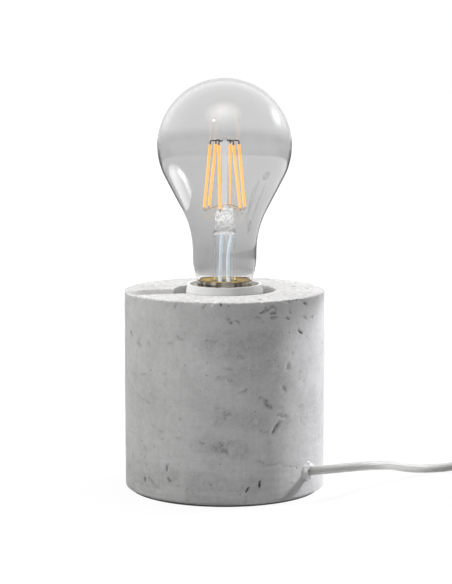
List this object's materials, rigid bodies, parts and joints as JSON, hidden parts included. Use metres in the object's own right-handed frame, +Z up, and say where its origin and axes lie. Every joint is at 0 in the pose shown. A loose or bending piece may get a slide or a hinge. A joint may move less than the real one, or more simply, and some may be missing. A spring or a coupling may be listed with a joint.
{
  "type": "table lamp",
  "caption": "Desk lamp: cast concrete cylinder with a lampholder sunk in its top, a bare smoked filament globe that screws in, and a side cord with switch and plug.",
  "frame": {"origin": "centre of the underside of the base, on the table", "axes": "+Z up along the lamp's axis; the cord leaves towards +X; the picture is seen from -Y"},
  "size_m": [0.3069, 0.1, 0.2052],
  "materials": {
    "concrete": "cast, fair-faced",
    "felt": "felt",
    "holder_plastic": "satin white",
    "insert_ceramic": "unglazed steatite",
    "contact_brass": "bare",
    "zinc_steel": "zinc plated",
    "conduit_plastic": "natural polyethylene",
    "tie_plastic": "natural nylon",
    "cord_sheath": "PVC sheath",
    "core_brown": "PVC insulation",
    "core_blue": "PVC insulation",
    "smoked_glass": "smoked, clear",
    "stem_glass": "clear",
    "filament": "yellow phosphor, unlit",
    "support_wire": "bare",
    "lead_sleeve": "sleeved",
    "cap_nickel": "nickel plated",
    "cap_glass": "black glass",
    "cement": "gold-coloured cement",
    "solder": "solder",
    "board": "white board",
    "switch_plastic": "satin white",
    "rocker_plastic": "gloss white",
    "switch_brass": "bare",
    "screw_steel": "zinc plated",
    "tie_strap": "woven strap",
    "plug_plastic": "moulded PVC",
    "pin_metal": "nickel plated",
    "pin_sleeve": "black"
  },
  "bodies": {
    "lamp": {"concrete_base": "concrete", "felt_disc": "felt", "holder_skirt": "holder_plastic", "holder_cap": "holder_plastic", "terminal_insert": "insert_ceramic", "centre_contact": "contact_brass", "side_contact": "contact_brass", "terminal_blocks": "contact_brass", "terminal_screws": "zinc_steel", "lock_screw": "zinc_steel", "threaded_nipple": "zinc_steel", "nipple_washer": "zinc_steel", "nipple_nut": "zinc_steel", "cord_conduit": "conduit_plastic", "cord_stop": "tie_plastic", "inner_cord": "cord_sheath", "lamp_cord": "cord_sheath", "coil_lead": "cord_sheath", "cord_coil": "cord_sheath", "plug_lead": "cord_sheath", "core_brown": "core_brown", "core_blue": "core_blue", "switch_base": "switch_plastic", "switch_cover": "switch_plastic", "switch_terminals": "switch_brass", "switch_screws": "screw_steel", "coil_tie": "tie_strap", "plug_body": "plug_plastic", "plug_pins": "pin_metal", "pin_sleeves": "pin_sleeve"},
    "bulb_tip": {"bulb_tip_contact": "solder"},
    "bulb": {"bulb_glass": "smoked_glass", "glass_stem": "stem_glass", "led_filaments": "filament", "filament_top_wires": "support_wire", "filament_foot_wires": "support_wire", "lead_wires": "lead_sleeve", "cap_shell": "cap_nickel", "cap_insulator": "cap_glass", "cap_cement": "cement", "driver_board": "board"},
    "rocker": {"switch_rocker": "rocker_plastic", "switch_bridge": "switch_brass"}
  },
  "joints": [
    {"name": "bulb_lift", "type": "slide", "parent": "lamp", "child": "bulb_tip", "axis": [0, 0, 1], "range_m": [0, 0.0146]},
    {"name": "bulb_turn", "type": "hinge", "parent": "bulb_tip", "child": "bulb", "pos_m": [0, 0, 0.0789], "axis": [0, 0, 1], "range_deg": [0, 1440]},
    {"name": "switch_rock", "type": "hinge", "parent": "lamp", "child": "rocker", "pos_m": [0.165, 0.0332, 0.0095], "axis": [0, 1, 0], "range_deg": [0, 14]}
  ],
  "couplings": [
    {"joint": "bulb_lift", "follows": "bulb_turn", "m_per_rad": 0.00057757}
  ]
}
